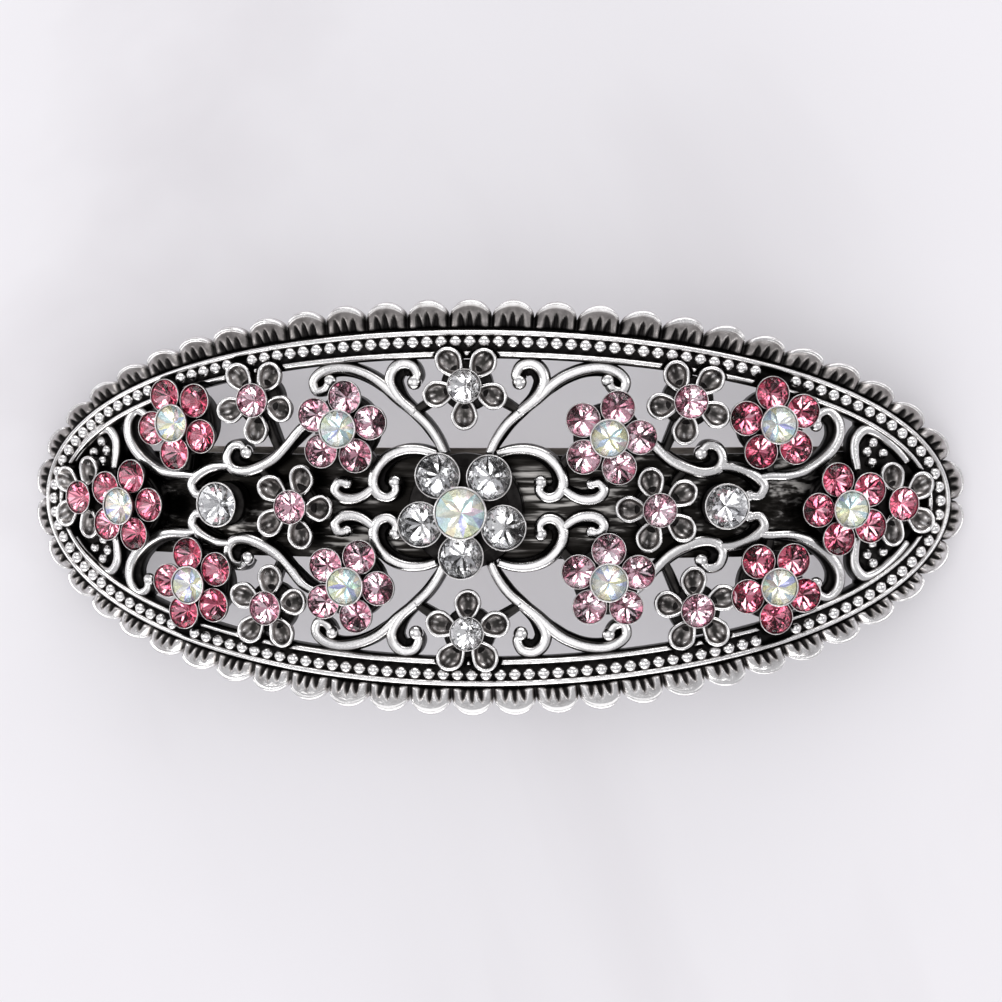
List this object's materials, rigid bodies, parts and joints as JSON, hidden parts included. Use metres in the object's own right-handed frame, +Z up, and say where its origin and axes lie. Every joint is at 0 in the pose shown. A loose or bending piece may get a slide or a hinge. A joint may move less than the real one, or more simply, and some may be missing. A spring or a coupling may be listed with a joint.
{
  "type": "hair barrette",
  "caption": "Curved oval openwork hair barrette with a scalloped beaded border, stone-set flowers among scrolls, and a hinged clamp arm with squeeze catch behind.",
  "frame": {"origin": "on the table plane under the centre of the ornament's outline, with the clip's feet at Z = 0", "axes": "+X along the barrette from the hinge end to the catch end, +Y across it, +Z up through the stones; the clip stands on its hinge ears and catch prongs"},
  "size_m": [0.0934, 0.0398, 0.0214],
  "materials": {
    "antique_silver": "antiqued silver plate, dark in the recesses and bright on the raised edges",
    "clip_steel": "nickel plated spring steel, darkened",
    "rose_stones": "faceted, foil backed",
    "pink_stones": "faceted, foil backed",
    "clear_stones": "faceted, foil backed",
    "iridescent_stones": "faceted, foil backed, rainbow coating"
  },
  "bodies": {
    "ornament": {"base_plate": "clip_steel", "bead_row": "antique_silver", "border": "antique_silver", "catch_bracket": "clip_steel", "collet_e": "antique_silver", "collet_w": "antique_silver", "flower_clear_n": "antique_silver", "flower_clear_s": "antique_silver", "flower_end_e": "antique_silver", "flower_end_w": "antique_silver", "flower_pink_e": "antique_silver", "flower_pink_ne": "antique_silver", "flower_pink_nw": "antique_silver", "flower_pink_se": "antique_silver", "flower_pink_sw": "antique_silver", "flower_pink_w": "antique_silver", "hinge_pin": "clip_steel", "leaf_beads": "antique_silver", "rivets": "clip_steel", "rosette_centre": "antique_silver", "rosette_dark_ne": "antique_silver", "rosette_dark_nw": "antique_silver", "rosette_dark_se": "antique_silver", "rosette_dark_sw": "antique_silver", "rosette_end_e": "antique_silver", "rosette_end_w": "antique_silver", "rosette_light_ne": "antique_silver", "rosette_light_nw": "antique_silver", "rosette_light_se": "antique_silver", "rosette_light_sw": "antique_silver", "scroll_panel": "antique_silver", "stone_centre_iridescent": "iridescent_stones", "stones_centre_petals": "clear_stones", "stones_clear_flowers": "clear_stones", "stones_collets": "clear_stones", "stones_dark_ne": "rose_stones", "stones_dark_nw": "rose_stones", "stones_dark_se": "rose_stones", "stones_dark_sw": "rose_stones", "stones_end_e": "rose_stones", "stones_end_flowers": "rose_stones", "stones_end_w": "rose_stones", "stones_light_ne": "pink_stones", "stones_light_nw": "pink_stones", "stones_light_se": "pink_stones", "stones_light_sw": "pink_stones", "stones_pink_flowers": "pink_stones", "stones_small_iridescent": "iridescent_stones", "tension_bar": "clip_steel"},
    "arm": {"clamp_arm": "clip_steel"},
    "prong_back": {"prong_back": "clip_steel"},
    "prong_front": {"prong_front": "clip_steel"}
  },
  "joints": [
    {"name": "arm_hinge", "type": "hinge", "parent": "ornament", "child": "arm", "pos_m": [-0.0372, 0, 0.0022], "axis": [0, 1, 0], "range_deg": [0, 75]},
    {"name": "prong_back_squeeze", "type": "hinge", "parent": "ornament", "child": "prong_back", "pos_m": [0.0365, 0.0026, 0.0038], "axis": [-1, 0, 0], "range_deg": [0, 22], "stiffness_Nm_per_rad": 0.03},
    {"name": "prong_front_squeeze", "type": "hinge", "parent": "ornament", "child": "prong_front", "pos_m": [0.0365, -0.0026, 0.0038], "axis": [1, 0, 0], "range_deg": [0, 22], "stiffness_Nm_per_rad": 0.03}
  ]
}
